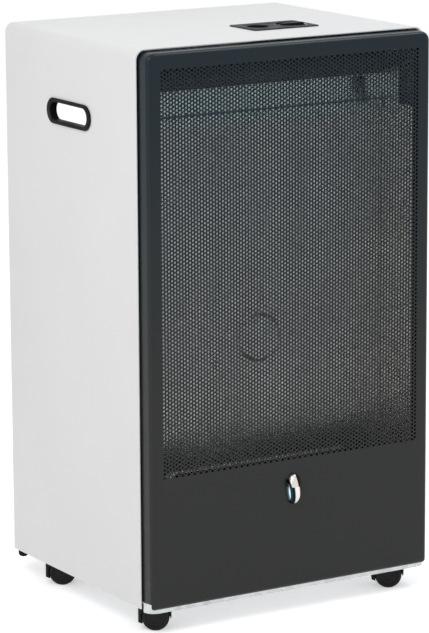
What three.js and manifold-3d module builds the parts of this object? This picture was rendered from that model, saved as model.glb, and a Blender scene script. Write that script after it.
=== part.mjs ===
// Portable gas cabinet heater: a painted casing on casters with a perforated front panel, a fire
// chamber behind it and a bay for a gas cylinder at the back. Millimetres, +Z up, front towards -Y,
// origin on the floor under the middle of the heater.
import * as THREE from "three";
import { mergeVertices } from "three/addons/utils/BufferGeometryUtils.js";
import Module from "manifold-3d";

const wasm = await Module();
wasm.setup();

// Clearances
const seat = 0.3; // between pieces that rest on each other or are cut for each other
const runningFit = 0.3; // radial, pins and stems in their bores
const wheelFit = 0.15; // radial, caster wheels on their axles

// Casing: one sheet folded over both sides and the top
const floorGap = 33; // floor to the casing's lower edge
const casingWidth = 424;
const casingDepth = 334;
const casingHeight = 703;
const casingSheet = 1;
const casingFold = 12;
const hemThickness = 2;
const hemDepth = 9;
const rearReturn = 14;

// Front panel: a pressed sheet with a perforated window
const panelProud = 22; // how far it stands out of the casing
const panelInset = 12; // how far its flanges reach into the casing
const panelSheet = 1.2;
const panelGap = 1.7; // shadow gap to the casing's hem
const panelCorner = 12;
const panelEdge = 5;
const panelBottom = 33.5;
const flangeCut = 3; // beside the base plate only this much of the panel's edge is left
const windowMargin = 18.3; // window to the panel's side edges
const windowBottom = 201;
const windowTop = 713;
const meshPitch = 56; // coarse holes that stand for the fine perforation
const meshHole = 42; // across corners

// Oval boss on the front panel
const bossWidth = 21.5;
const bossHeight = 40;
const bossProud = 12;
const bossMiddle = 164; // above the floor

// Rear cover of the cylinder's bay
const coverBulge = 40;
const coverSheet = 1;
const coverBottom = 36;
const coverTop = 560;
const coverFlangeIn = 3; // casing's side to the cover's flange
const coverBulgeIn = 26; // casing's side to the foot of the bulge
const coverTaper = 10; // the bulge is this much narrower on each side at the back
const coverRound = 9;
const ledgeDepth = 14;
const ventWidth = 76;
const ventHeight = 6;
const ventPitch = 16;
const ventRows = 4;
const ventBottom = 80;
const ventTop = 470;

// Base plate
const baseSheet = 1;
const baseUnder = 41; // underside above the floor
const skirtBottom = 29.5;
const skirtSetback = 3.5; // behind the panel's face
const baseCorner = 14;
const sideFlange = 16;
const extensionIn = 4; // inside the cover's bulge
const extensionShort = 7; // the extension ends this far before the cover's back
const floorSlotLength = 70;
const floorSlotWidth = 8;
const padWidth = 300; // pressed up under the cylinder
const padCorner = 20;
const padRise = 1.5;
const padFront = 12; // behind the heat shield
const padRear = 12; // before the casing's rear edge

// Fire chamber
const chamberDepth = 80; // panel's face to the back reflector
const chamberSideGap = 25; // casing's side to the side reflector
const reflectorSheet = 1;
const reflectorBottom = 79;
const chamberTop = 672;
const deflectorRise = 24; // the deflector slopes up towards the front
const deflectorFront = 19; // from the panel's face
const pressedDisc = 64;
const pressedDiscHeight = 346;
const pressedDiscRise = 3;
const notchDepth = 40; // cut out of the side reflectors, from the panel's face
const notchBottom = 637;
const sideFront = 9; // side reflectors start this far behind the panel's face
const stripHeight = 44;
const stripLean = 5;
const stripSheet = 1;
const chamberFloorHeight = 76;
const airSlotLength = 50;
const airSlotWidth = 8;
const airSlotPitch = 66;
const airSlotOffset = 16; // before and behind the burner's middle
const shieldGap = 8; // back reflector to heat shield
const shieldSheet = 1;
const shieldTop = 722;
const shieldFlange = 12;

// Burner
const burnerLength = 250;
const burnerWide = 40;
const burnerTall = 28;
const burnerWall = 1.2;
const burnerHeight = 118; // middle above the floor
const burnerSetback = 42; // middle behind the panel's face
const burnerEnd = -140; // its closed end
const portCount = 14;
const portPitch = 16;
const portWidth = 2;
const portLength = 22;
const bracketWidth = 14; // the two brackets that carry the burner
const bracketDepth = 20;
const bracketSheet = 2;
const jetFlange = 3; // plate that closes the burner's open end
const jetLength = 16;
const frameWidth = 278;
const frameTop = 184;
const frameBottom = 86;
const frameCorner = 14;
const frameRim = 3;
const frameDepth = 5;

// Pilot group, on the burner's front
const pilotX = -60;
const pilotPlate = 1.5;
const pilotHalf = 26; // half the bracket's length
const pilotReach = 14; // how far its shelf stands out
const pilotDrop = 12; // shelf under the burner's middle
const pilotRise = 8; // its back over the burner's middle
const pilotTubeRadius = 4;
const pilotTubeWall = 1.4;
const pilotTubeLength = 26;
const pilotTubeFloor = 8; // thickness of its closed end
const sparkOffset = 17;
const insulatorRadius = 3.5;
const insulatorTip = 2.4;
const insulatorLength = 17;
const insulatorTaper = 3;
const wireRadius = 0.9;
const wireBend = 28; // height where the wire turns to the pilot
const wireTop = 34;
const wireReach = 8;
const probeOffset = 16;
const probeRadius = 2;
const probeLength = 32;
const probePoint = 2;
const probeNutRadius = 3;
const probeNutLength = 7;

// Controls in the top
const insertLength = 98.5;
const insertWidth = 66;
const insertX = 56;
const insertSetback = 108; // middle behind the casing's front edge
const insertFlange = 1.2;
const insertLip = 3;
const insertDepth = 14;
const insertCorner = 6;
const insertCupCorner = 5;
const insertWall = 3; // thickness of the wells' floors
const knobX = 83;
const knobRadius = 19;
const knobHeight = 9;
const knobProud = 1.5;
const knobRim = 3; // width of the flat rim round its dished face
const knobRimDrop = 2.5; // rim under the grip's top
const knobBevel = 1.5;
const knobDish = 1; // face under the rim
const knobGripWidth = 8;
const knobGripDepth = 5;
const knobCap = 3; // material over the spindle's end
const buttonX = 31;
const buttonRadius = 9;
const buttonTravel = 4;
const buttonSunk = 2.5;
const buttonRound = 1;
const buttonDish = 0.8;
const buttonRim = 4;
const buttonWellFit = 5; // radial, round the button
const stemRadius = 4;
const stemLength = 16; // the button's stem under the insert
const wellFit = 2; // radial, round the knob
const wellHoleFit = 1; // radial, round the spindle and the stem in the wells' floors
const spindleRadius = 3;
const spindlePush = 4;
const spindleDepth = 10; // how far it reaches into the valve's body

// Gas valve and its pipes
const shelfDrop = 81; // shelf under the casing's top
const shelfSheet = 1.5;
const shelfDepth = 72;
const shelfLeft = 10;
const shelfRight = 122;
const shelfUpright = 59; // height of its back against the heat shield
const shelfEndLow = 8; // its ends slope from high at the shield to low
const shelfEndHigh = 40;
const valveWidth = 46;
const valveDepth = 34;
const valveHeight = 40;
const neckRadius = 10;
const neckGap = 2; // under the control insert
const outletWall = 0.5;
const tailRadius = 5;
const tailLength = 34;
const barbPitch = 6;
const barbRise = 0.6;
const pipeRadius = 4;
const pilotPipeRadius = 2;
const leadRadius = 1.5;
const pipeDrop = 8; // pipes stand this far behind the heat shield
const pipeBend = 14;
const leadBend = 8;
const straightOut = 22; // each pipe runs this far down from its outlet before it turns aside
const turnStagger = 14; // the next pipe turns aside this much lower
const turnHeight = 38; // height of the slanted stretch
const laneMargin = 6; // outermost pipe to the service slot's edge
const laneGap = 2.5; // between pipes side by side
const laneSetback = 12; // before the back reflector
const laneBottom = 84; // lowest lane over the chamber floor
const laneRise = 5.5; // each lane above the last
const outletPitch = 8; // between the outlets under the valve
const outletLength = 6;
const slotSideGap = 6; // service slot to the side reflector
const slotWidth = 38;
const slotBottom = 104;
const slotTop = 130;
const piezoRadius = 10;
const piezoLength = 52;
const piezoTerminalRadius = 5;
const piezoTerminalLength = 6;

// Handle grommets
const gripLength = 111.5;
const gripHeight = 33;
const gripRim = 5; // face of the ring above and below the opening
const gripEndRim = 9; // face of the ring at its ends
const gripFace = 1.8;
const gripSleeve = 8;
const gripHeightAbove = 637.3;
const gripSetback = 166; // middle behind the casing's front edge
const sleeveWall = 3;

// Casters
const casterSideGap = 35; // casing's side to the stems
const casterFront = 15; // stems behind the casing's front edge
const casterRear = 78; // stems before the casing's rear edge
const casterTurn = 149; // degrees, how the casters stand
const wheelRadius = 17.5;
const wheelWidth = 11.5;
const wheelRound = 2.5;
const wheelDish = 1.2; // tyre's edge to the hub's face
const wheelGap = 0.4; // web to wheel
const hubRadius = 7;
const trail = 4; // axle behind the stem
const webWidth = 9;
const webReach = 9; // web's low edge, each way from the axle
const webDrop = 12.5; // web's low edge under the axle
const hoodWidth = 31;
const hoodTop = 38;
const hoodRound = 7;
const hoodHeel = 16; // hood's reach ahead of the stem
const hoodToe = 26; // hood's reach behind the stem
const hoodLip = 6; // the toe's lip ends this far under the axle
const hoodLipDepth = 6;
const hoodLipSlope = 2.5;
const wheelClear = 1.2;
const axleRadius = 2;
const axleShort = 1; // the axle ends this far inside the wheels' outer faces
const pinRadius = 2.5;
const pinBottom = 26;
const pinEndGap = 0.5;
const mountSize = 36;
const mountCorner = 5;
const mountGap = 0.5; // hood's top to the mounting plate

// Rear stop feet
const footSideGap = 9.3; // casing's side to the feet's middles
const footSetIn = 8.5; // from the casing's rear edge
const footRadius = 7;
const footRound = 4.5;
const footClear = 22.8; // above the floor

// Places that follow from the sizes
const totalDepth = bossProud + panelProud + casingDepth + coverBulge;
const frontY = bossProud - totalDepth / 2;
const casingFrontY = frontY + panelProud;
const casingRearY = casingFrontY + casingDepth;
const backY = casingRearY + coverBulge;
const halfWidth = casingWidth / 2;
const casingTop = floorGap + casingHeight;
const panelHalf = halfWidth - hemThickness - panelGap;
const panelTop = casingTop - hemThickness - panelGap;
const windowWidth = 2 * (panelHalf - windowMargin);
const baseTop = baseUnder + baseSheet;
const baseHalf = halfWidth - hemThickness - seat;
const coverFlange = halfWidth - coverFlangeIn;
const coverHalfSeat = halfWidth - coverBulgeIn;
const coverHalfBack = coverHalfSeat - coverTaper;
const extensionHalf = coverHalfBack - extensionIn;
const extensionRearY = backY - extensionShort;
const chamberHalf = halfWidth - chamberSideGap;
const slotRight = chamberHalf - slotSideGap;
const slotLeft = slotRight - slotWidth;
const reflectorY = frontY + chamberDepth;
const shieldY = reflectorY + reflectorSheet + shieldGap;
const shieldBackY = shieldY + shieldSheet;
const burnerY = frontY + burnerSetback;
const insertY = casingFrontY + insertSetback;
const gripY = casingFrontY + gripSetback;
const shelfHeight = casingTop - shelfDrop;
const valveBottom = shelfHeight + shelfSheet + seat;
const valveTop = valveBottom + valveHeight;
const pilotBackY = burnerY - burnerWide / 2 - seat;
const pilotRowY = pilotBackY - (pilotReach + pilotPlate) / 2;
const pilotShelfZ = burnerHeight - pilotDrop;
const jetEndX = burnerEnd + burnerLength + jetFlange + jetLength;
const piezoTop = casingTop - insertDepth - seat;
const piezoBottom = piezoTop - piezoLength;
const casterX = halfWidth - casterSideGap;
const footX = halfWidth - footSideGap;
const footY = casingRearY - footSetIn;

const paints = {
  white: { color: 0xe4e5e4, roughness: 0.45, metalness: 0 },
  slate: { color: 0x383b3e, roughness: 0.5, metalness: 0.2 },
  galvanised: { color: 0xb9bdbd, roughness: 0.45, metalness: 0.9 },
  steel: { color: 0x8f8f8c, roughness: 0.35, metalness: 0.9 },
  bluedSteel: { color: 0x7f9db0, roughness: 0.2, metalness: 1 },
  blackSteel: { color: 0x222427, roughness: 0.6, metalness: 0.4 },
  blackPlastic: { color: 0x17181a, roughness: 0.5, metalness: 0 },
  chrome: { color: 0xe6e8ea, roughness: 0.08, metalness: 1 },
  brass: { color: 0xb59a55, roughness: 0.35, metalness: 1 },
  copper: { color: 0xb06a45, roughness: 0.35, metalness: 1 },
  ceramic: { color: 0xe8e4da, roughness: 0.5, metalness: 0 },
  redRubber: { color: 0x6d2a22, roughness: 0.7, metalness: 0 },
};
const heater = new THREE.Group();

// Solids and how they are put together

function solid(geometry) {
  const bare = new THREE.BufferGeometry();
  bare.setAttribute("position", geometry.getAttribute("position"));
  if (geometry.index) bare.setIndex(geometry.index);
  const merged = mergeVertices(bare, 1e-4);
  const corners = merged.index.array;
  const kept = [];
  for (let i = 0; i < corners.length; i += 3) {
    const [a, b, c] = corners.slice(i, i + 3);
    if (a !== b && b !== c && a !== c) kept.push(a, b, c);
  }
  const mesh = new wasm.Mesh({
    numProp: 3,
    vertProperties: merged.attributes.position.array,
    triVerts: new Uint32Array(kept),
  });
  return new wasm.Manifold(mesh);
}

function geometryOf(shape) {
  const mesh = shape.getMesh();
  const geometry = new THREE.BufferGeometry();
  geometry.setAttribute("position", new THREE.BufferAttribute(mesh.vertProperties, 3));
  geometry.setIndex(new THREE.BufferAttribute(mesh.triVerts, 1));
  return geometry;
}

function addPiece(name, shape, paint, group = heater) {
  const material = new THREE.MeshStandardMaterial(paints[paint]);
  const mesh = new THREE.Mesh(geometryOf(shape), material);
  mesh.name = name;
  group.add(mesh);
  return mesh;
}

function join(...shapes) {
  return shapes.reduce((whole, next) => whole.add(next));
}

// A box from its lowest to its highest corner
function block(x0, y0, z0, x1, y1, z1) {
  const box = new THREE.BoxGeometry(x1 - x0, y1 - y0, z1 - z0);
  return solid(box.translate((x0 + x1) / 2, (y0 + y1) / 2, (z0 + z1) / 2));
}

// Outlines drawn in the XY plane and raised along Z, drawn in XZ and run along Y, or in YZ along X
function alongZ(outline, z0, z1, curveSegments = 3) {
  const options = { depth: z1 - z0, bevelEnabled: false, curveSegments };
  return solid(new THREE.ExtrudeGeometry(outline, options).translate(0, 0, z0));
}

function alongY(outline, y0, y1, curveSegments = 3) {
  const options = { depth: y1 - y0, bevelEnabled: false, curveSegments };
  const geometry = new THREE.ExtrudeGeometry(outline, options);
  return solid(geometry.rotateX(Math.PI / 2).translate(0, y1, 0));
}

function alongX(outline, x0, x1, curveSegments = 3) {
  const options = { depth: x1 - x0, bevelEnabled: false, curveSegments };
  const geometry = new THREE.ExtrudeGeometry(outline, options);
  const turn = new THREE.Matrix4().makeBasis(
    new THREE.Vector3(0, 1, 0),
    new THREE.Vector3(0, 0, 1),
    new THREE.Vector3(1, 0, 0),
  );
  return solid(geometry.applyMatrix4(turn).translate(x0, 0, 0));
}

function polygon(points) {
  return new THREE.Shape(points.map(([x, y]) => new THREE.Vector2(x, y)));
}

function roundedRect(width, height, radius, x = 0, y = 0) {
  const outline = new THREE.Shape();
  const right = x + width / 2 - radius;
  const left = x - width / 2 + radius;
  const top = y + height / 2 - radius;
  const bottom = y - height / 2 + radius;
  outline.absarc(right, top, radius, 0, Math.PI / 2);
  outline.absarc(left, top, radius, Math.PI / 2, Math.PI);
  outline.absarc(left, bottom, radius, Math.PI, 1.5 * Math.PI);
  outline.absarc(right, bottom, radius, 1.5 * Math.PI, 2 * Math.PI);
  return outline;
}

// A long hole or ring with half-round ends
function slotShape(length, height, x = 0, y = 0) {
  return roundedRect(length, height, height / 2 - 0.01, x, y);
}

// An upright turned piece from [radius, height] pairs that start and end on the axis
function turned(points, segments = 20) {
  const profile = points.map(([radius, height]) => new THREE.Vector2(radius, height));
  return solid(new THREE.LatheGeometry(profile, segments).rotateX(Math.PI / 2));
}

function rod(radius, z0, z1, segments = 20) {
  return turned([[0, z0], [radius, z0], [radius, z1], [0, z1]], segments);
}

// A route of straights and bends that shares its steps evenly between them
class BentRoute extends THREE.Curve {
  constructor(pieces) {
    super();
    this.pieces = pieces;
  }

  getPoint(t, target = new THREE.Vector3()) {
    const along = t * this.pieces.length;
    const i = Math.min(Math.floor(along), this.pieces.length - 1);
    return this.pieces[i].getPoint(along - i, target);
  }

  getUtoTmapping(u) {
    return u;
  }
}

// A tube or wire along a list of corners, rounded at each one
function bentRod(radius, corners, bend) {
  const points = corners.map((corner) => new THREE.Vector3(...corner));
  const pieces = [];
  let from = points[0];
  for (let i = 1; i < points.length - 1; i++) {
    const before = points[i].clone().sub(points[i - 1]);
    const after = points[i + 1].clone().sub(points[i]);
    const reach = Math.min(bend, before.length() / 2.2, after.length() / 2.2);
    const enter = points[i].clone().addScaledVector(before.normalize(), -reach);
    const leave = points[i].clone().addScaledVector(after.normalize(), reach);
    pieces.push(new THREE.LineCurve3(from, enter));
    pieces.push(new THREE.QuadraticBezierCurve3(enter, points[i], leave));
    from = leave;
  }
  pieces.push(new THREE.LineCurve3(from, points[points.length - 1]));
  const outline = new THREE.Shape();
  outline.absarc(0, 0, radius, 0, 2 * Math.PI);
  const extrudePath = new BentRoute(pieces);
  const options = { steps: 2 * pieces.length, extrudePath, curveSegments: 4, bevelEnabled: false };
  return solid(new THREE.ExtrudeGeometry(outline, options));
}

// Casing and covers

function makeCasing() {
  const shell = (inset, y0, y1) => {
    const half = halfWidth - inset;
    const top = casingTop - inset;
    const fold = Math.max(casingFold - inset, 1);
    const outline = new THREE.Shape();
    outline.moveTo(-half, floorGap - inset);
    outline.lineTo(half, floorGap - inset);
    outline.absarc(half - fold, top - fold, fold, 0, Math.PI / 2);
    outline.absarc(-half + fold, top - fold, fold, Math.PI / 2, Math.PI);
    return alongY(outline, y0, y1, 4);
  };
  const hemEndY = casingFrontY + hemDepth;
  const returnY = casingRearY - casingSheet;
  const over = 1; // the hollows run past the ends they open
  const casing = shell(0, casingFrontY, casingRearY)
    .subtract(shell(hemThickness, casingFrontY - over, hemEndY + over))
    .subtract(shell(casingSheet, hemEndY, returnY))
    .subtract(shell(rearReturn, returnY - over, casingRearY + over));
  const sleeveHole = slotShape(
    gripLength - 2 * gripEndRim + 2 * sleeveWall + 2 * seat,
    gripHeight - 2 * gripRim + 2 * sleeveWall + 2 * seat,
    gripY,
    gripHeightAbove,
  );
  const well = roundedRect(
    insertLength - 2 * insertLip + 2 * seat,
    insertWidth - 2 * insertLip + 2 * seat,
    insertCorner,
    insertX,
    insertY,
  );
  const body = casing
    .subtract(alongX(sleeveHole, -halfWidth - over, halfWidth + over))
    .subtract(alongZ(well, casingTop - casingFold, casingTop + over));
  addPiece("casing", body, "white");
}

// Centres of the coarse window's holes, in columns that are staggered by half a pitch
function meshCentres() {
  const columnPitch = meshPitch * Math.cos(Math.PI / 6);
  const windowHeight = windowTop - windowBottom;
  const columns = Math.floor((windowWidth - meshHole) / columnPitch) + 1;
  const rows = Math.floor((windowHeight - meshHole - meshPitch / 2) / meshPitch) + 1;
  const firstX = (-(columns - 1) * columnPitch) / 2;
  const firstZ = (windowBottom + windowTop - (rows - 0.5) * meshPitch) / 2;
  const centres = [];
  for (let column = 0; column < columns; column++) {
    for (let row = 0; row < rows; row++) {
      const z = firstZ + row * meshPitch + (column % 2 ? meshPitch / 2 : 0);
      centres.push([firstX + column * columnPitch, z]);
    }
  }
  return centres;
}

function hexagon(x, y, acrossCorners) {
  const corners = [];
  for (let i = 0; i < 6; i++) {
    const angle = (i * Math.PI) / 3;
    corners.push([x + (Math.cos(angle) * acrossCorners) / 2, y + (Math.sin(angle) * acrossCorners) / 2]);
  }
  return polygon(corners);
}

function makeFrontPanel() {
  const depth = panelProud + panelInset;
  const middle = (panelTop + panelBottom) / 2;
  // a box with rounded corners and a rounded front edge, cut off at its open back
  const tray = (inset) => {
    const round = panelEdge - inset;
    const outline = roundedRect(
      2 * (panelHalf - inset - round),
      panelTop - panelBottom - 2 * (inset + round),
      panelCorner - panelEdge,
      0,
      middle,
    );
    const options = {
      depth,
      curveSegments: 3,
      bevelThickness: round,
      bevelSize: round,
      bevelSegments: 3,
    };
    const geometry = new THREE.ExtrudeGeometry(outline, options).rotateX(Math.PI / 2);
    return solid(geometry.translate(0, frontY + inset + round + depth, 0));
  };
  const holes = meshCentres().map(([x, z]) => hexagon(x, z, meshHole));
  const panel = tray(0)
    .subtract(tray(panelSheet))
    .intersect(block(-halfWidth, frontY - 1, 0, halfWidth, frontY + depth, casingTop))
    .subtract(alongY(holes, frontY - 1, frontY + 2 * panelSheet))
    .subtract(
      block(-halfWidth, frontY + flangeCut, 0, halfWidth, frontY + depth + 1, baseTop + seat),
    );
  addPiece("front_panel", panel, "slate");
}

function makeOvalBoss() {
  const thickness = 2;
  const rise = bossProud - thickness - seat;
  const dome = new THREE.SphereGeometry(1, 24, 12).rotateX(Math.PI / 2);
  dome.scale(bossWidth / 2, rise, bossHeight / 2);
  const rimY = frontY - seat - thickness;
  const plateGeometry = new THREE.CylinderGeometry(1, 1, thickness, 24);
  plateGeometry.scale(bossWidth / 2, 1, bossHeight / 2).translate(0, rimY + thickness / 2, 0);
  const front = block(-bossWidth, frontY - 2 * bossProud, -bossHeight, bossWidth, rimY, bossHeight);
  const boss = solid(dome.translate(0, rimY, 0)).intersect(front).add(solid(plateGeometry));
  addPiece("oval_boss", boss.translate(0, 0, bossMiddle), "chrome");
}

function makeRearCover() {
  const flangeFrontY = casingRearY + seat;
  // plan of the bulge, drawn smaller by its sheet for the hollow
  const plan = (inset) => {
    const outline = new THREE.Shape();
    const backAt = backY - inset;
    const halfSeat = coverHalfSeat - inset;
    const halfBack = coverHalfBack - inset;
    outline.moveTo(-halfSeat, flangeFrontY - (inset ? 1 : 0));
    outline.lineTo(halfSeat, flangeFrontY - (inset ? 1 : 0));
    outline.lineTo(halfBack + inset, backAt - coverRound);
    outline.quadraticCurveTo(halfBack, backAt, halfBack - coverRound, backAt);
    outline.lineTo(-halfBack + coverRound, backAt);
    outline.quadraticCurveTo(-halfBack, backAt, -halfBack - inset, backAt - coverRound);
    return outline;
  };
  const flange = block(
    -coverFlange,
    flangeFrontY,
    coverBottom,
    coverFlange,
    flangeFrontY + coverSheet,
    coverTop,
  );
  const hollow = alongZ(plan(coverSheet), coverBottom - 1, coverTop - coverSheet);
  const vents = [];
  for (const bottom of [ventBottom, ventTop]) {
    for (let row = 0; row < ventRows; row++) {
      for (const x of [-ventWidth, ventWidth]) {
        vents.push(slotShape(ventWidth, ventHeight, x, bottom + row * ventPitch));
      }
    }
  }
  const ledge = block(
    -coverHalfBack + 2 * coverRound,
    backY - ledgeDepth,
    baseTop + seat,
    coverHalfBack - 2 * coverRound,
    backY - coverSheet / 2,
    baseTop + seat + coverSheet,
  );
  const cover = alongZ(plan(0), coverBottom, coverTop)
    .add(flange)
    .subtract(hollow)
    .subtract(alongY(vents, backY - 3 * coverSheet, backY + 1, 1))
    .add(ledge);
  addPiece("rear_cover", cover, "white");
}

function makeBasePlate() {
  const skirtY = frontY + skirtSetback;
  // plan of the front part: square at the back, rounded at the front
  const plan = (inset, rearAt) => {
    const half = baseHalf - inset;
    const corner = baseCorner - inset;
    const outline = new THREE.Shape();
    outline.moveTo(half, rearAt);
    outline.lineTo(-half, rearAt);
    outline.absarc(-half + corner, skirtY + inset + corner, corner, Math.PI, 1.5 * Math.PI);
    outline.absarc(half - corner, skirtY + inset + corner, corner, 1.5 * Math.PI, 2 * Math.PI);
    return outline;
  };
  const slots = [];
  const bayMiddleY = (shieldBackY + casingRearY) / 2;
  for (const x of [-1.4 * floorSlotLength, 0, 1.4 * floorSlotLength]) {
    for (const y of [-3, -1, 1, 3]) {
      slots.push(slotShape(floorSlotLength, floorSlotWidth, x, bayMiddleY + y * floorSlotWidth * 2));
    }
  }
  const over = 1;
  const skirtRearY = casingFrontY - panelInset / 4;
  const skirt = alongZ(plan(0, skirtRearY), skirtBottom, baseUnder + baseSheet / 2).subtract(
    alongZ(plan(baseSheet, skirtRearY + over), skirtBottom - over, baseTop),
  );
  const floor = alongZ(plan(0, casingRearY - casingSheet - seat), baseUnder, baseTop);
  const extension = block(
    -extensionHalf,
    casingRearY - 2 * rearReturn,
    baseUnder,
    extensionHalf,
    extensionRearY,
    baseTop,
  );
  const flanges = [-1, 1].map((side) => {
    const inner = side * (baseHalf - baseSheet);
    const outer = side * baseHalf;
    return block(
      Math.min(inner, outer),
      casingFrontY + 2 * panelInset,
      baseUnder,
      Math.max(inner, outer),
      casingRearY - 2 * rearReturn,
      baseTop + sideFlange,
    );
  });
  // the floor is pressed up where the cylinder stands
  const padY0 = shieldBackY + padFront;
  const padY1 = casingRearY - padRear;
  const pad = (inset) =>
    roundedRect(
      padWidth - 2 * inset,
      padY1 - padY0 - 2 * inset,
      padCorner - inset,
      0,
      (padY0 + padY1) / 2,
    );
  const raised = alongZ(pad(0), baseTop - baseSheet / 2, baseTop + padRise);
  const underPad = alongZ(pad(baseSheet), baseUnder - over, baseUnder + padRise);
  const plate = join(floor, skirt, extension, raised, ...flanges)
    .subtract(underPad)
    .subtract(alongZ(slots, baseUnder - over, baseTop + padRise + over, 1));
  addPiece("base_plate", plate, "galvanised");
}

// Fire chamber

function serviceSlot() {
  const width = slotRight - slotLeft;
  const height = slotTop - slotBottom;
  return roundedRect(width, height, 6, (slotLeft + slotRight) / 2, (slotTop + slotBottom) / 2);
}

function makeHeatShield() {
  const half = baseHalf;
  const plate = block(-half, shieldY, baseTop + seat, half, shieldBackY, shieldTop);
  const flanges = [-1, 1].map((side) => {
    const inner = side * (half - shieldSheet);
    const outer = side * half;
    return block(
      Math.min(inner, outer),
      shieldY,
      baseTop + sideFlange + seat,
      Math.max(inner, outer),
      shieldBackY + shieldFlange,
      shieldTop,
    );
  });
  // the plate is narrower beside the base plate's upright flanges
  const relief = [-1, 1].map((side) => {
    const inner = side * (half - baseSheet - seat);
    const outer = side * (half + 1);
    return block(
      Math.min(inner, outer),
      shieldY - 1,
      baseTop,
      Math.max(inner, outer),
      shieldBackY + 1,
      baseTop + sideFlange + seat,
    );
  });
  const slot = alongY(serviceSlot(), shieldY - 1, shieldBackY + 1);
  const shield = join(plate, ...flanges).subtract(join(...relief)).subtract(slot);
  addPiece("heat_shield", shield, "galvanised");
}

function makeBackReflector() {
  const rise = pressedDiscRise;
  const radius = pressedDisc / 2;
  const slope = 4; // how far the pressed edge slopes in
  const press = (inset, y) => {
    const disc = turned(
      [[0, -1], [radius - inset, -1], [radius - inset, 0], [radius - slope - inset, rise], [0, rise]],
      32,
    );
    return disc.rotate([90, 0, 0]).translate([0, y, pressedDiscHeight]);
  };
  const plate = block(
    -chamberHalf + seat,
    reflectorY,
    reflectorBottom,
    chamberHalf - seat,
    reflectorY + reflectorSheet,
    chamberTop,
  );
  const slot = alongY(serviceSlot(), reflectorY - 1, reflectorY + reflectorSheet + 1);
  const body = plate
    .add(press(0, reflectorY))
    .subtract(press(reflectorSheet, reflectorY + reflectorSheet + 0.5))
    .subtract(slot);
  addPiece("reflector_back", body, "steel");
}

function makeSideReflectors() {
  const foot = shieldGap + reflectorSheet; // the plate runs on past the back reflector to the shield
  for (const [name, side] of [["reflector_left", -1], ["reflector_right", 1]]) {
    const inner = side * chamberHalf;
    const outer = side * (chamberHalf + reflectorSheet);
    const out = side * (chamberHalf + shieldGap);
    const backY = reflectorY + foot - seat;
    const wall = block(
      Math.min(inner, outer),
      frontY + sideFront,
      reflectorBottom,
      Math.max(inner, outer),
      backY,
      chamberTop + deflectorRise,
    );
    const flange = block(
      Math.min(inner, out),
      backY - reflectorSheet,
      reflectorBottom,
      Math.max(inner, out),
      backY,
      chamberTop + deflectorRise,
    );
    const notch = block(
      -halfWidth,
      frontY,
      notchBottom,
      halfWidth,
      frontY + notchDepth,
      casingTop,
    );
    addPiece(name, wall.add(flange).subtract(notch), "steel");
  }
}

function makeDeflector() {
  const y0 = frontY + deflectorFront;
  const y1 = reflectorY - seat;
  const low = chamberTop;
  const high = chamberTop + deflectorRise;
  const lip = 6;
  const t = reflectorSheet;
  const outline = polygon([
    [y1, low],
    [y1, low + t + lip],
    [y1 - t, low + t + lip],
    [y1 - t, low + t],
    [y0 + t, high + t],
    [y0 + t, high + t + lip],
    [y0, high + t + lip],
    [y0, high],
  ]);
  addPiece("top_deflector", alongX(outline, -chamberHalf + seat, chamberHalf - seat), "blackSteel");
}

function makeFlueStrip() {
  const top = chamberTop - 2;
  const bottom = top - stripHeight;
  const backAt = reflectorY - seat;
  const t = stripSheet;
  const outline = polygon([
    [backAt, top],
    [backAt - t, top],
    [backAt - stripLean - t, bottom],
    [backAt, bottom - t],
    [backAt, bottom],
    [backAt - stripLean, bottom + t],
  ]);
  addPiece("flue_strip", alongX(outline, -chamberHalf + 2 * seat, chamberHalf - 2 * seat), "bluedSteel");
}

function makeChamberFloor() {
  const slots = [];
  for (const column of [-2, -1, 0, 1, 2]) {
    for (const y of [burnerY - airSlotOffset, burnerY + airSlotOffset]) {
      slots.push(slotShape(airSlotLength, airSlotWidth, column * airSlotPitch, y));
    }
  }
  const y0 = frontY + sideFront + reflectorSheet;
  const y1 = shieldY - seat;
  const plate = block(
    -chamberHalf,
    y0,
    chamberFloorHeight,
    chamberHalf,
    y1,
    chamberFloorHeight + reflectorSheet,
  );
  const lip = block(
    -chamberHalf,
    y1 - reflectorSheet,
    baseTop + seat,
    chamberHalf,
    y1,
    chamberFloorHeight + reflectorSheet / 2,
  );
  const over = 1;
  const cutSlots = alongZ(
    slots,
    chamberFloorHeight - over,
    chamberFloorHeight + reflectorSheet + over,
    1,
  );
  addPiece("chamber_floor", plate.add(lip).subtract(cutSlots), "galvanised");
}

// Burner group

function makeBurnerFrame() {
  const height = frameTop - frameBottom;
  const middle = (frameTop + frameBottom) / 2;
  const inner = roundedRect(
    frameWidth - 2 * frameRim,
    height - 2 * frameRim,
    frameCorner - frameRim,
    0,
    middle,
  );
  const outer = roundedRect(frameWidth, height, frameCorner, 0, middle);
  const y1 = reflectorY - seat;
  const rim = alongY(outer, y1 - frameDepth, y1).subtract(
    alongY(inner, y1 - frameDepth - 1, y1 + 1),
  );
  addPiece("burner_frame", rim, "galvanised");
}

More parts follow.
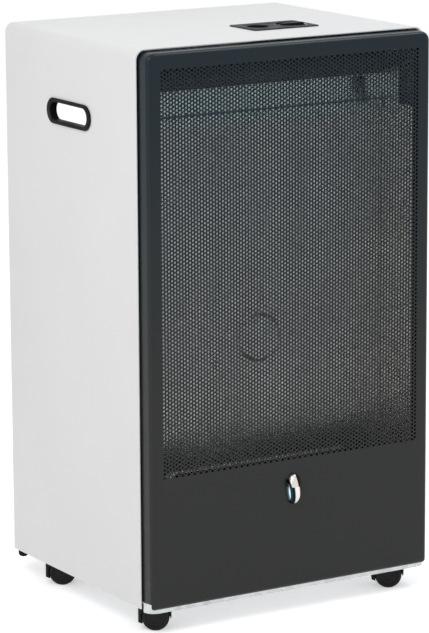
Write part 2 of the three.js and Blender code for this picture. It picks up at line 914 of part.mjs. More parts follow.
function makeBurner() {
  const x1 = burnerEnd + burnerLength;
  const outer = alongX(slotShape(burnerWide, burnerTall, burnerY, burnerHeight), burnerEnd, x1);
  const inner = alongX(
    slotShape(burnerWide - 2 * burnerWall, burnerTall - 2 * burnerWall, burnerY, burnerHeight),
    burnerEnd + burnerWall,
    x1 + 1,
  );
  const ports = [];
  const firstX = burnerEnd + (burnerLength - (portCount - 1) * portPitch) / 2;
  for (let i = 0; i < portCount; i++) {
    const x = firstX + i * portPitch;
    const [left, right] = [x - portWidth / 2, x + portWidth / 2];
    const [front, back] = [burnerY - portLength / 2, burnerY + portLength / 2];
    ports.push(polygon([[left, front], [right, front], [right, back], [left, back]]));
  }
  const top = burnerHeight + burnerTall / 2;
  const portCut = alongZ(ports, top - 2 * burnerWall - 1, top + 1, 1);
  addPiece("burner_tube", outer.subtract(inner).subtract(portCut), "steel");

  const standTop = burnerHeight - burnerTall / 2 - seat;
  for (const [name, x] of [
    ["burner_bracket_left", burnerEnd + burnerLength / 5],
    ["burner_bracket_right", x1 - burnerLength / 5],
  ]) {
    const floorTop = chamberFloorHeight + reflectorSheet + seat;
    const end = x + bracketWidth;
    const [front, back] = [burnerY - bracketDepth / 2, burnerY + bracketDepth / 2];
    const base = block(x, front, floorTop, end, back, floorTop + bracketSheet);
    const post = block(x, front, floorTop, x + bracketSheet, back, standTop);
    const saddle = block(x, front, standTop - bracketSheet, end, back, standTop);
    addPiece(name, join(base, post, saddle), "galvanised");
  }

  // jet holder that closes the burner's open end
  const plug = slotShape(burnerWide, burnerTall, burnerY, burnerHeight);
  const flange = alongX(plug, x1 + seat, x1 + jetFlange);
  const nutAcross = 4 * pipeRadius;
  const spigot = alongX(hexagon(burnerY, burnerHeight, nutAcross), x1 + jetFlange - 1, jetEndX);
  const bore = alongX(hexagon(burnerY, burnerHeight, pipeRadius), x1 - 1, jetEndX - jetLength / 2);
  addPiece("jet_holder", flange.add(spigot).subtract(bore), "brass");
}

function makePilotGroup() {
  const left = pilotX - pilotHalf;
  const right = pilotX + pilotHalf;
  const y0 = pilotBackY - pilotReach;
  const plateTop = burnerHeight + pilotRise;
  const standOn = pilotShelfZ + pilotPlate + seat;
  const plate = block(left, pilotBackY - pilotPlate, pilotShelfZ, right, pilotBackY, plateTop);
  const shelf = block(left, y0, pilotShelfZ, right, pilotBackY, pilotShelfZ + pilotPlate);
  addPiece("pilot_bracket", plate.add(shelf), "galvanised");

  const rowY = pilotRowY;
  const boreRadius = pilotTubeRadius - pilotTubeWall;
  const tubeBore = rod(boreRadius, pilotTubeFloor, pilotTubeLength + 1, 12);
  const tube = rod(pilotTubeRadius, 0, pilotTubeLength, 12).subtract(tubeBore);
  addPiece("pilot_burner", tube.translate([pilotX, rowY, standOn]), "brass");

  const shoulder = insulatorLength - insulatorTaper;
  const insulator = turned(
    [
      [0, 0],
      [insulatorRadius, 0],
      [insulatorRadius, shoulder],
      [insulatorTip, insulatorLength],
      [0, insulatorLength],
    ],
    12,
  );
  const wire = bentRod(
    wireRadius,
    [[0, 0, shoulder + 1], [0, 0, wireBend], [wireReach, 0, wireTop]],
    insulatorTaper,
  );
  const electrode = insulator.add(wire).translate([pilotX - sparkOffset, rowY, standOn]);
  addPiece("spark_electrode", electrode, "ceramic");

  const probe = turned(
    [
      [0, 0],
      [probeNutRadius, 0],
      [probeNutRadius, probeNutLength],
      [probeRadius, probeNutLength + probeNutRadius - probeRadius],
      [probeRadius, probeLength - probePoint],
      [0, probeLength],
    ],
    12,
  );
  addPiece("thermocouple", probe.translate([pilotX + probeOffset, rowY, standOn]), "copper");
}

// Gas valve, pipes and leads

function makeValve() {
  const backAt = shieldBackY + seat;
  const shelf = block(
    shelfLeft,
    backAt,
    shelfHeight,
    shelfRight,
    backAt + shelfDepth,
    shelfHeight + shelfSheet,
  );
  const uprightTop = shelfHeight + shelfUpright;
  const upright = block(shelfLeft, backAt, shelfHeight, shelfRight, backAt + shelfSheet, uprightTop);
  const ends = [shelfLeft, shelfRight - shelfSheet].map((x) => {
    const outline = polygon([
      [backAt, shelfHeight],
      [backAt + shelfDepth, shelfHeight],
      [backAt + shelfDepth, shelfHeight + shelfEndLow],
      [backAt, shelfHeight + shelfEndHigh],
    ]);
    return alongX(outline, x, x + shelfSheet);
  });
  const over = 1;
  const leadHole = rod(piezoRadius, shelfHeight - over, shelfHeight + shelfSheet + over);
  const outletSlot = alongZ(
    slotShape(4 * outletPitch, 2 * outletPitch, knobX, insertY),
    shelfHeight - over,
    shelfHeight + shelfSheet + over,
  );
  const bracket = join(shelf, upright, ...ends)
    .subtract(leadHole.translate([buttonX, insertY, 0]))
    .subtract(outletSlot);
  addPiece("valve_bracket", bracket, "galvanised");

  // valve body with a round neck for the spindle
  const neckTop = casingTop - insertDepth - neckGap;
  const body = block(
    knobX - valveWidth / 2,
    insertY - valveDepth / 2,
    valveBottom,
    knobX + valveWidth / 2,
    insertY + valveDepth / 2,
    valveTop,
  );
  const neck = rod(neckRadius, valveTop - over, neckTop).translate([knobX, insertY, 0]);
  const boreBottom = valveTop - spindleDepth - spindlePush - 2 * over;
  const spindleBore = rod(spindleRadius + runningFit, boreBottom, casingTop);
  const outlets = [pipeRadius, pilotPipeRadius, leadRadius].map((radius, i) =>
    rod(radius + outletWall, valveBottom - outletLength, valveBottom + over, 12).translate([
      knobX + outletPitch * (1 - i),
      insertY,
      0,
    ]),
  );
  const valve = join(body, neck).subtract(spindleBore.translate([knobX, insertY, 0]));
  addPiece("gas_valve", join(valve, ...outlets), "brass");

  // barbed inlet that points to the bay
  const collar = tailRadius + 2;
  const barbs = [[0, 0], [collar, 0], [collar, barbPitch], [tailRadius, barbPitch]];
  for (let z = barbPitch + 4; z < tailLength - barbPitch; z += barbPitch) {
    barbs.push([tailRadius - barbRise, z], [tailRadius + barbRise, z + 1]);
  }
  barbs.push([tailRadius - barbRise, tailLength], [0, tailLength]);
  const bore = rod(tailRadius / 2, tailLength / 2, tailLength + over, 12);
  const tail = turned(barbs, 12).subtract(bore).rotate([-90, 0, 0]);
  const tailZ = valveBottom + valveHeight / 2;
  addPiece(
    "hose_tail",
    tail.translate([knobX, insertY + valveDepth / 2 + seat, tailZ]),
    "brass",
  );
}

// Gas pipes and leads: each starts under its outlet, drops behind the heat shield, passes the
// service slot and, apart from the burner's, runs in its own lane to the pilot group.
function makePipes() {
  const dropY = shieldBackY + pipeDrop;
  const outletZ = valveBottom - outletLength - seat;
  const slotZ = (slotBottom + slotTop) / 2;
  const burnerX = slotRight - laneMargin - pipeRadius;
  const feedX = burnerX - pipeRadius - laneGap - pilotPipeRadius;
  const probeX = feedX - pilotPipeRadius - laneGap - leadRadius;
  const sparkX = probeX - 2 * leadRadius - laneGap;
  const drop = (x, z, dropX, order) => {
    const turnZ = outletZ - straightOut - order * turnStagger;
    return [
      [x, insertY, z],
      [x, insertY, turnZ],
      [dropX, dropY, turnZ - turnHeight],
      [dropX, dropY, slotZ],
    ];
  };
  const laneBackY = reflectorY - laneSetback;
  const lane = (dropX, order, riseX) => {
    const laneZ = laneBottom + order * laneRise;
    return [
      [dropX, laneBackY, slotZ],
      [dropX, laneBackY, laneZ],
      [dropX, pilotRowY, laneZ],
      [riseX, pilotRowY, laneZ],
      [riseX, pilotRowY, pilotShelfZ - seat],
    ];
  };
  const burnerRoute = [
    ...drop(knobX + outletPitch, outletZ, burnerX, 0),
    [burnerX, burnerY, burnerHeight],
    [jetEndX + seat, burnerY, burnerHeight],
  ];
  const pilotRoute = [...drop(knobX, outletZ, feedX, 1), ...lane(feedX, 1, pilotX)];
  const probeRoute = [
    ...drop(knobX - outletPitch, outletZ, probeX, 2),
    ...lane(probeX, 2, pilotX + probeOffset),
  ];
  const sparkRoute = [
    ...drop(buttonX, piezoBottom - seat, sparkX, 3),
    ...lane(sparkX, 0, pilotX - sparkOffset),
  ];
  addPiece("burner_pipe", bentRod(pipeRadius, burnerRoute, pipeBend), "copper");
  addPiece("pilot_pipe", bentRod(pilotPipeRadius, pilotRoute, leadBend), "copper");
  addPiece("thermocouple_lead", bentRod(leadRadius, probeRoute, leadBend), "copper");
  addPiece("igniter_lead", bentRod(leadRadius, sparkRoute, leadBend), "redRubber");
}

// Controls in the top

function makeControls() {
  const flangeTop = casingTop + insertFlange;
  const flangeBottom = casingTop + seat;
  const bodyBottom = casingTop - insertDepth;
  const rim = roundedRect(insertLength, insertWidth, insertCorner, insertX, insertY);
  const cup = roundedRect(
    insertLength - 2 * insertLip,
    insertWidth - 2 * insertLip,
    insertCupCorner,
    insertX,
    insertY,
  );
  const over = 5; // the wells' cuts run past the insert's face
  const wellBottom = bodyBottom + insertWall;
  const knobWell = rod(knobRadius + wellFit, wellBottom, casingTop + over, 32);
  const buttonWell = rod(buttonRadius + buttonWellFit, wellBottom, casingTop + over, 28);
  const insert = alongZ(rim, flangeBottom, flangeTop)
    .add(alongZ(cup, bodyBottom, flangeBottom + 0.1))
    .subtract(knobWell.translate([knobX, insertY, 0]))
    .subtract(buttonWell.translate([buttonX, insertY, 0]))
    .subtract(rod(spindleRadius + wellHoleFit, 0, casingTop).translate([knobX, insertY, 0]))
    .subtract(rod(stemRadius + wellHoleFit, 0, casingTop).translate([buttonX, insertY, 0]));
  addPiece("control_insert", insert, "blackPlastic");

  const knobTop = flangeTop + knobProud;
  const knobBottom = knobTop - knobHeight;
  const rimTop = knobTop - knobRimDrop;
  const boreTop = knobTop - knobCap;
  const gripHalf = knobRadius - knobRim;
  const grip = block(
    -gripHalf,
    -knobGripWidth / 2,
    knobTop - knobGripDepth,
    gripHalf,
    knobGripWidth / 2,
    knobTop,
  );
  const knob = turned(
    [
      [0, knobBottom],
      [knobRadius, knobBottom],
      [knobRadius, rimTop - knobBevel],
      [knobRadius - knobBevel, rimTop],
      [knobRadius - knobRim, rimTop],
      [knobRadius - knobRim - knobDish, rimTop - knobDish],
      [0, rimTop - knobDish],
    ],
    32,
  )
    .add(grip)
    .subtract(rod(spindleRadius + runningFit, knobBottom - 1, boreTop));
  addPiece("control_knob", knob.translate([knobX, insertY, 0]), "blackPlastic");

  const spindle = rod(spindleRadius, valveTop - spindleDepth, boreTop - seat);
  addPiece("valve_spindle", spindle.translate([knobX, insertY, 0]), "brass");

  const buttonTop = casingTop - buttonSunk;
  const capBottom = wellBottom + buttonTravel + 1;
  const stemBottom = bodyBottom - stemLength;
  const button = turned(
    [
      [0, stemBottom],
      [stemRadius, stemBottom],
      [stemRadius, capBottom],
      [buttonRadius, capBottom],
      [buttonRadius, buttonTop - buttonRound],
      [buttonRadius - buttonRound, buttonTop],
      [buttonRadius - buttonRim, buttonTop - buttonDish],
      [0, buttonTop - buttonDish],
    ],
    24,
  );
  addPiece("igniter_button", button.translate([buttonX, insertY, 0]), "blackPlastic");

  const piezo = turned(
    [
      [0, piezoBottom],
      [piezoTerminalRadius, piezoBottom],
      [piezoTerminalRadius, piezoBottom + piezoTerminalLength],
      [piezoRadius, piezoBottom + piezoTerminalLength],
      [piezoRadius, piezoTop],
      [stemRadius + runningFit, piezoTop],
      [stemRadius + runningFit, stemBottom - buttonTravel - 1],
      [0, stemBottom - buttonTravel - 1],
    ],
    20,
  );
  addPiece("piezo_igniter", piezo.translate([buttonX, insertY, 0]), "blackPlastic");
}

// Handle grommets

function makeGrommets() {
  const outer = slotShape(gripLength, gripHeight, gripY, gripHeightAbove);
  const opening = slotShape(
    gripLength - 2 * gripEndRim,
    gripHeight - 2 * gripRim,
    gripY,
    gripHeightAbove,
  );
  const sleeve = slotShape(
    gripLength - 2 * gripEndRim + 2 * sleeveWall,
    gripHeight - 2 * gripRim + 2 * sleeveWall,
    gripY,
    gripHeightAbove,
  );
  const faceAt = halfWidth + seat;
  const right = alongX(outer, faceAt, faceAt + gripFace)
    .add(alongX(sleeve, halfWidth - gripSleeve, faceAt + 0.5))
    .subtract(alongX(opening, halfWidth - gripSleeve - 1, faceAt + gripFace + 1));
  addPiece("handle_right", right, "blackPlastic");
  addPiece("handle_left", right.mirror([1, 0, 0]), "blackPlastic");
}

// Casters

function makeCasterSolids() {
  const acrossY = (radius, half, z, x, segments = 24) =>
    rod(radius, -half, half, segments).rotate([90, 0, 0]).translate([x, 0, z]);
  const over = 1;
  const outline = new THREE.Shape();
  outline.moveTo(-hoodHeel, wheelRadius);
  outline.lineTo(trail - webReach, wheelRadius - webDrop);
  outline.lineTo(trail + webReach, wheelRadius - webDrop);
  outline.lineTo(hoodToe - hoodLipDepth, wheelRadius - hoodLip - hoodLipSlope);
  outline.lineTo(hoodToe, wheelRadius - hoodLip);
  outline.lineTo(hoodToe, hoodTop - hoodRound);
  outline.quadraticCurveTo(hoodToe, hoodTop, hoodToe - hoodRound, hoodTop);
  outline.lineTo(-hoodHeel + hoodRound, hoodTop);
  outline.quadraticCurveTo(-hoodHeel, hoodTop, -hoodHeel, hoodTop - hoodRound);
  const hollow = acrossY(wheelRadius + wheelClear, hoodWidth, wheelRadius, trail, 20);
  const shell = alongY(outline, -hoodWidth / 2, hoodWidth / 2, 4).subtract(hollow);
  const web = alongY(outline, -webWidth / 2, webWidth / 2, 4);
  const hood = shell
    .add(web)
    .subtract(acrossY(axleRadius + runningFit, webWidth, wheelRadius, trail, 12))
    .subtract(rod(pinRadius + runningFit, pinBottom - pinEndGap, hoodTop + over, 12));

  const plateBottom = hoodTop + mountGap;
  const plateTop = baseUnder - seat;
  const plate = roundedRect(mountSize, mountSize, mountCorner);
  const pin = rod(pinRadius, pinBottom, (plateBottom + plateTop) / 2, 12);
  const mount = alongZ(plate, plateBottom, plateTop, 1).add(pin);

  const inner = webWidth / 2 + wheelGap;
  const bore = axleRadius + wheelFit;
  const profile = [
    [bore, 0],
    [wheelRadius - wheelRound, 0],
    [wheelRadius, wheelRound],
    [wheelRadius, wheelWidth - wheelRound],
    [wheelRadius - wheelRound, wheelWidth],
    [hubRadius, wheelWidth - wheelDish],
    [bore, wheelWidth - wheelDish],
    [bore, 0],
  ];
  const wheel = turned(profile, 20).translate([0, 0, inner]);
  const place = (shape) => shape.rotate([90, 0, 0]).translate([trail, 0, wheelRadius]);
  return {
    mount,
    hood,
    axle: acrossY(axleRadius, inner + wheelWidth - axleShort, wheelRadius, trail, 12),
    wheel_a: place(wheel),
    wheel_b: place(wheel.mirror([0, 0, 1])),
  };
}

function makeCasters() {
  const shapes = makeCasterSolids();
  const finishes = {
    mount: "galvanised",
    hood: "blackPlastic",
    axle: "steel",
    wheel_a: "blackPlastic",
    wheel_b: "blackPlastic",
  };
  const frontAt = casingFrontY + casterFront;
  const rearAt = casingRearY - casterRear;
  const stems = {
    front_left: [-casterX, frontAt],
    front_right: [casterX, frontAt],
    rear_left: [-casterX, rearAt],
    rear_right: [casterX, rearAt],
  };
  for (const [corner, [x, y]] of Object.entries(stems)) {
    const caster = new THREE.Group();
    caster.position.set(x, y, 0);
    caster.rotation.z = THREE.MathUtils.degToRad(casterTurn);
    for (const [part, shape] of Object.entries(shapes)) {
      addPiece(`caster_${corner}_${part}`, shape, finishes[part], caster);
    }
    heater.add(caster);
  }
}

function makeRearFeet() {
  const steps = 4;
  const rounding = Array.from({ length: steps + 1 }, (_, i) => {
    const angle = (i / steps) * (Math.PI / 2);
    return [
      footRadius - footRound + footRound * Math.sin(angle),
      footClear + footRound * (1 - Math.cos(angle)),
    ];
  });
  const top = baseUnder - seat;
  const foot = turned([[0, footClear], ...rounding, [footRadius, top], [0, top]], 20);
  for (const [name, side] of [["rear_foot_left", -1], ["rear_foot_right", 1]]) {
    addPiece(name, foot.translate([side * footX, footY, 0]), "blackPlastic");
  }
}

makeCasing();
makeFrontPanel();
makeOvalBoss();
makeRearCover();
makeBasePlate();
makeHeatShield();
makeBackReflector();
makeSideReflectors();
makeDeflector();
makeFlueStrip();
makeChamberFloor();
makeBurnerFrame();
makeBurner();
makePilotGroup();
makeValve();
makePipes();
makeControls();
makeGrommets();
makeCasters();
makeRearFeet();

export default heater;
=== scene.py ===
# Portable gas cabinet heater: the looks of its sheet metal, perforated front, controls and
# casters, built around the fixed model of the heater. Metres, +Z up, front towards -Y.
import math
import bpy
from mathutils import Matrix, Vector


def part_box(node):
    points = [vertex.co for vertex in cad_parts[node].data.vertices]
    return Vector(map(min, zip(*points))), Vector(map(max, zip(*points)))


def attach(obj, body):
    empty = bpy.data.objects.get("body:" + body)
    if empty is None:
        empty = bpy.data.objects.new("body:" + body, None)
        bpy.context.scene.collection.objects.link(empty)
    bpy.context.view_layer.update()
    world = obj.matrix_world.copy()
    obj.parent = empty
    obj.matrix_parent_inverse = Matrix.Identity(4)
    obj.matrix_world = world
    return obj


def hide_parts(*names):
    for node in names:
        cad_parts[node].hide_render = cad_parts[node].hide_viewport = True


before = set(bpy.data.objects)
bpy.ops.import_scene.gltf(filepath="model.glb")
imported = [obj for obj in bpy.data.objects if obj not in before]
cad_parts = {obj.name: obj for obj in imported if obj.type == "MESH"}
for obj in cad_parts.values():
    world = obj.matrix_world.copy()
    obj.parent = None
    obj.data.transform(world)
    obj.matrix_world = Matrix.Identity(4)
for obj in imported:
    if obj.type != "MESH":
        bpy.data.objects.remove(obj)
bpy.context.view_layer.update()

# ------------------------------------------------------------------ Base plate
# Folded tray of galvanised sheet that carries everything. Its upright skirt shows as a pale
# strip under the front panel; air slots are punched in its floor.

weld_gap = 0.00002
flat_angle = math.radians(0.5)
tray_round = 0.0003


def new_finish(name, color, roughness, metallic=0.0, **sockets):
    """A material with its shader's plain values set; textures are added to it afterwards."""
    finish = bpy.data.materials.new(name)
    finish.use_nodes = True
    shader = finish.node_tree.nodes["Principled BSDF"]
    shader.inputs["Base Color"].default_value = (*color, 1)
    shader.inputs["Roughness"].default_value = roughness
    shader.inputs["Metallic"].default_value = metallic
    for socket, value in sockets.items():
        shader.inputs[socket.replace("_", " ")].default_value = value
    return finish


def pattern(finish, kind, scale, stretch=(1, 1, 1), **settings):
    """A texture's output on object coordinates; stretch squeezes it along the axes."""
    tree = finish.node_tree
    place = tree.nodes.new("ShaderNodeTexCoord")
    mapping = tree.nodes.new("ShaderNodeMapping")
    mapping.inputs["Scale"].default_value = stretch
    texture = tree.nodes.new("ShaderNodeTex" + kind)
    texture.inputs["Scale"].default_value = scale
    for key, value in settings.items():
        texture.inputs[key].default_value = value
    tree.links.new(place.outputs["Object"], mapping.inputs["Vector"])
    tree.links.new(mapping.outputs["Vector"], texture.inputs["Vector"])
    return texture.outputs["Color"] if kind == "Voronoi" else texture.outputs["Fac"]


def bands(finish, source, stops):
    """Turns a run from 0 to 1 into colours; stops are pairs of a place and its colour."""
    ramp = finish.node_tree.nodes.new("ShaderNodeValToRGB")
    elements = ramp.color_ramp.elements
    while len(elements) < len(stops):
        elements.new(1.0)
    for element, (place, color) in zip(elements, stops):
        element.position = place
        element.color = (*color, 1)
    finish.node_tree.links.new(source, ramp.inputs["Fac"])
    return ramp.outputs["Color"]


def between(finish, source, low, high, start=0.35, end=0.65):
    """Turns a pattern into a value or a colour that runs from low to high."""
    if not isinstance(low, tuple):
        low, high = (low,) * 3, (high,) * 3
    return bands(finish, source, ((start, low), (end, high)))


def along(finish, direction, start, end):
    """Runs from 0 to 1 along a direction of the object, between two places on it."""
    tree = finish.node_tree
    place = tree.nodes.new("ShaderNodeTexCoord")
    measure = tree.nodes.new("ShaderNodeVectorMath")
    measure.operation = "DOT_PRODUCT"
    measure.inputs[1].default_value = direction
    span = tree.nodes.new("ShaderNodeMapRange")
    span.inputs["From Min"].default_value = start
    span.inputs["From Max"].default_value = end
    tree.links.new(place.outputs["Object"], measure.inputs[0])
    tree.links.new(measure.outputs["Value"], span.inputs["Value"])
    return span.outputs["Result"]


def drive(finish, socket, source):
    """Lets a texture set one of the shader's values."""
    shader = finish.node_tree.nodes["Principled BSDF"]
    finish.node_tree.links.new(source, shader.inputs[socket])


def dimple(finish, source, depth, strength):
    """Makes a pattern rise from the surface by this depth in metres."""
    tree = finish.node_tree
    bump = tree.nodes.new("ShaderNodeBump")
    bump.inputs["Strength"].default_value = strength
    bump.inputs["Distance"].default_value = depth
    tree.links.new(source, bump.inputs["Height"])
    drive(finish, "Normal", bump.outputs["Normal"])


def galvanised_sheet():
    """Zinc with its spangle of large crystals."""
    finish = new_finish("galvanised_sheet", (0.60, 0.62, 0.62), 0.42, metallic=1.0)
    spangle = pattern(finish, "Voronoi", 110, Randomness=1.0)
    drive(finish, "Base Color", between(finish, spangle, (0.50, 0.52, 0.53), (0.66, 0.68, 0.68), 0, 1))
    drive(finish, "Roughness", between(finish, pattern(finish, "Noise", 60), 0.36, 0.52))
    dimple(finish, spangle, 0.00004, 0.25)
    return finish


def dress(finish, *nodes):
    """Gives nodes of the fixed model a finish."""
    for node in nodes:
        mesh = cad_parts[node].data
        mesh.materials.clear()
        mesh.materials.append(finish)


def take_up(piece):
    """Leaves only this piece selected and active."""
    bpy.ops.object.select_all(action="DESELECT")
    piece.select_set(True)
    bpy.context.view_layer.objects.active = piece


def apply(piece, kind, **settings):
    """Puts a modifier on the piece and makes its result the piece's own mesh."""
    take_up(piece)
    modifier = piece.modifiers.new(kind.lower(), kind)
    for key, value in settings.items():
        setattr(modifier, key, value)
    bpy.ops.object.modifier_apply(modifier=modifier.name)


def soften(piece, width, segments=2, angle=35):
    """Rounds every edge that is sharper than the angle."""
    apply(
        piece,
        "BEVEL",
        width=width,
        segments=segments,
        limit_method="ANGLE",
        angle_limit=math.radians(angle),
    )


def settle(piece, name, finish, body, stands_for=(), smooth=30):
    """Puts the piece's place into its mesh, names and finishes it, and ties it to its body."""
    take_up(piece)
    bpy.ops.object.transform_apply(location=True, rotation=True, scale=True)
    bpy.ops.object.shade_smooth_by_angle(angle=math.radians(smooth))
    piece.name = name
    piece.data.materials.clear()
    piece.data.materials.append(finish)
    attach(piece, body)
    if stands_for:
        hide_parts(*stands_for)


def finer_copy(node, edge, segments=2):
    """A copy of a node with its loose triangles joined and its sharp edges rounded."""
    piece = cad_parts[node].copy()
    piece.data = piece.data.copy()
    piece.parent = None
    for key in list(piece.keys()):
        del piece[key]
    bpy.context.scene.collection.objects.link(piece)
    take_up(piece)
    bpy.ops.object.mode_set(mode="EDIT")
    bpy.ops.mesh.select_all(action="SELECT")
    bpy.ops.mesh.remove_doubles(threshold=weld_gap)
    bpy.ops.mesh.dissolve_limited(angle_limit=flat_angle)
    bpy.ops.object.mode_set(mode="OBJECT")
    if edge:
        soften(piece, edge, segments)
    return piece


galvanised = galvanised_sheet()
tray = finer_copy("base_plate", tray_round)
settle(tray, "base_tray", galvanised, "cabinet", ["base_plate"])

# --------------------------------------------------------------------- Casters
# Twin-wheel casters of black nylon: a swivelling hood over two wheels on one steel axle, held
# by a stem whose square plate is riveted under the base. All four stand turned the same way.

corners = ("front_left", "front_right", "rear_left", "rear_right")
caster_turn = math.radians(149)
wheel_radius = 0.0175
wheel_width = 0.0115
wheel_inner = 0.0049
wheel_round = 0.0024
wheel_steps = ((0.0022, 0.0), (0.0008, 0.0011), (0.0050, 0.0), (0.0006, -0.0008))
wheel_edge = 0.0003
trail = 0.004
hood_round = 0.0009
near = 0.0001
square_on = 0.9


def moulded_black(name, color, roughness, shine):
    """Black plastic with the fine grain of its mould."""
    finish = new_finish(name, color, roughness, Specular_IOR_Level=shine)
    patch = pattern(finish, "Noise", 45)
    drive(finish, "Roughness", between(finish, patch, roughness - 0.06, roughness + 0.08))
    dimple(finish, pattern(finish, "Noise", 1400, Detail=3.0), 0.00005, 0.25)
    return finish


def pick(piece, domain, test):
    """In edit mode, selects the vertices, edges or faces whose places pass the test."""
    bpy.ops.object.mode_set(mode="OBJECT")
    mesh = piece.data
    for group in (mesh.vertices, mesh.edges, mesh.polygons):
        group.foreach_set("select", [False] * len(group))
    bpy.context.tool_settings.mesh_select_mode = (domain == "VERT", domain == "EDGE", domain == "FACE")
    if domain == "VERT":
        for vertex in mesh.vertices:
            vertex.select = bool(test(vertex.co))
    if domain == "EDGE":
        for edge in mesh.edges:
            edge.select = bool(test(*(mesh.vertices[end].co for end in edge.vertices)))
    if domain == "FACE":
        for face in mesh.polygons:
            face.select = bool(test(face.center, face.normal))
    bpy.ops.object.mode_set(mode="EDIT")


def edit(piece):
    """Opens the piece's whole mesh for editing."""
    take_up(piece)
    bpy.ops.object.mode_set(mode="EDIT")
    bpy.ops.mesh.select_all(action="SELECT")


def done():
    bpy.ops.object.mode_set(mode="OBJECT")


def start_cylinder(radius, depth, middle, vertices=64, rotation=(0, 0, 0)):
    bpy.ops.object.select_all(action="DESELECT")
    bpy.ops.mesh.primitive_cylinder_add(
        vertices=vertices, radius=radius, depth=depth, location=middle, rotation=rotation
    )
    piece = bpy.context.object
    bpy.ops.object.transform_apply(location=True, rotation=True, scale=True)
    return piece


def start_block(middle, size):
    bpy.ops.object.select_all(action="DESELECT")
    bpy.ops.mesh.primitive_cube_add(size=1, location=middle, scale=size)
    piece = bpy.context.object
    bpy.ops.object.transform_apply(location=True, rotation=True, scale=True)
    return piece


def make_wheel(side):
    """One wheel: rounded tread, a shallow dish in its outer face and a raised hub. Each step
    of the face is a ring's width and how far it sinks."""
    middle = side * (wheel_inner + wheel_width / 2)
    hub = Vector((trail, middle, wheel_radius))
    wheel = start_cylinder(wheel_radius, wheel_width, hub, 64, (math.pi / 2, 0, 0))
    soften(wheel, wheel_round, 5, 60)
    edit(wheel)
    for ring, sink in wheel_steps:
        pick(wheel, "FACE", lambda at, normal: normal.y * side > square_on
             and math.hypot(at.x - hub.x, at.z - hub.z) < near)
        bpy.ops.mesh.inset(thickness=ring)
        bpy.ops.transform.translate(value=(0, -side * sink, 0))
    done()
    soften(wheel, wheel_edge, 2, 40)
    return wheel


def turned_steel():
    finish = new_finish("turned_steel", (0.55, 0.55, 0.55), 0.3, metallic=1.0)
    drive(finish, "Roughness", between(finish, pattern(finish, "Noise", 300), 0.22, 0.4))
    return finish


nylon = moulded_black("nylon_black", (0.006, 0.006, 0.0065), 0.36, 0.2)
axle_steel = turned_steel()
for corner in corners:
    low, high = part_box(f"caster_{corner}_mount")
    stem = Vector(((low.x + high.x) / 2, (low.y + high.y) / 2, 0))
    stand = Matrix.Translation(stem) @ Matrix.Rotation(caster_turn, 4, "Z")
    for letter, side in (("a", -1), ("b", 1)):
        wheel = make_wheel(side)
        wheel.data.transform(stand)
        node = f"caster_{corner}_wheel_{letter}"
        settle(wheel, f"{corner}_wheel_{letter}", nylon, f"{corner}_wheels", [node])
    node = f"caster_{corner}_hood"
    hood = finer_copy(node, hood_round, 3)
    settle(hood, f"{corner}_hood", nylon, f"{corner}_caster", [node])
    dress(axle_steel, f"caster_{corner}_axle")
    dress(galvanised, f"caster_{corner}_mount")

# -------------------------------------------------------------- Rear stop feet
# Moulded black feet under the base's rear corners, clear of the floor: they stop the heater
# when it tips back. Each is a turned peg with a rounded toe.

foot_taper = 0.94
foot_round = 0.0045
foot_rim = 0.0004


def make_foot(node):
    """A peg that narrows a little downwards and ends in a rounded toe."""
    low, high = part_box(node)
    middle = (low + high) / 2
    foot = start_cylinder((high.x - low.x) / 2, high.z - low.z, middle, 48)
    edit(foot)
    pick(foot, "VERT", lambda at: at.z < middle.z)
    bpy.ops.transform.resize(value=(foot_taper, foot_taper, 1), center_override=middle)
    pick(foot, "EDGE", lambda a, b: max(a.z, b.z) < middle.z)
    bpy.ops.mesh.bevel(offset=foot_round, segments=6, affect="EDGES")
    done()
    soften(foot, foot_rim, 2, 50)
    return foot


soft_black = moulded_black("black_plastic", (0.007, 0.0085, 0.010), 0.46, 0.07)
for side in ("left", "right"):
    node = f"rear_foot_{side}"
    settle(make_foot(node), f"stop_foot_{side}", soft_black, "cabinet", [node])

# ---------------------------------------------------------------- Fire chamber
# Bright rolled sheets line the chamber; a polished strip, with a painted bluish reflection in its colour,
# leans from the top of the back one, and a black deflector slopes above it. They are bent sheets, riveted
# together.

rim_round = 0.0024


def rolled_sheet(name, dull, bright):
    """Bright sheet with long rolling marks, clouded by heat between two tints."""
    finish = new_finish(name, bright, 0.34, metallic=1.0)
    roll = pattern(finish, "Noise", 26, (1, 1, 0.06), Detail=6.0)
    drive(finish, "Base Color", between(finish, roll, dull, bright, 0.3, 0.7))
    drive(finish, "Roughness", between(finish, pattern(finish, "Noise", 9), 0.26, 0.42))
    dimple(finish, roll, 0.0002, 0.2)
    return finish


def strip_painted_sheen():
    """Bright sheet with a painted bluish reflection in its colour, and a band of painted shade along one
    crease near its foot.
    """
    low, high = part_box("flue_strip")
    # bright is the polished sheet with a painted bluish reflection; crease is a band of painted shade
    bright = (0.80, 0.97, 1.0)
    crease = (0.12, 0.20, 0.24)
    finish = new_finish("strip_painted_sheen", bright, 0.24, metallic=1.0)
    rise = along(finish, (0, 0, 1), low.z, high.z)
    stops = ((0, bright), (0.29, bright), (0.32, crease), (0.35, crease), (0.39, bright), (1, bright))
    drive(finish, "Base Color", bands(finish, rise, stops))
    drive(finish, "Roughness", between(finish, pattern(finish, "Noise", 14, (1, 1, 3)), 0.18, 0.34))
    return finish


def black_sheet():
    """Matt near-black sheet."""
    finish = new_finish("black_sheet", (0.018, 0.019, 0.021), 0.62)
    drive(finish, "Roughness", between(finish, pattern(finish, "Noise", 30), 0.52, 0.7))
    return finish


def polished_rim():
    finish = new_finish("polished_rim", (0.97, 0.98, 0.98), 0.22, metallic=1.0)
    drive(finish, "Roughness", between(finish, pattern(finish, "Noise", 60), 0.16, 0.28))
    return finish


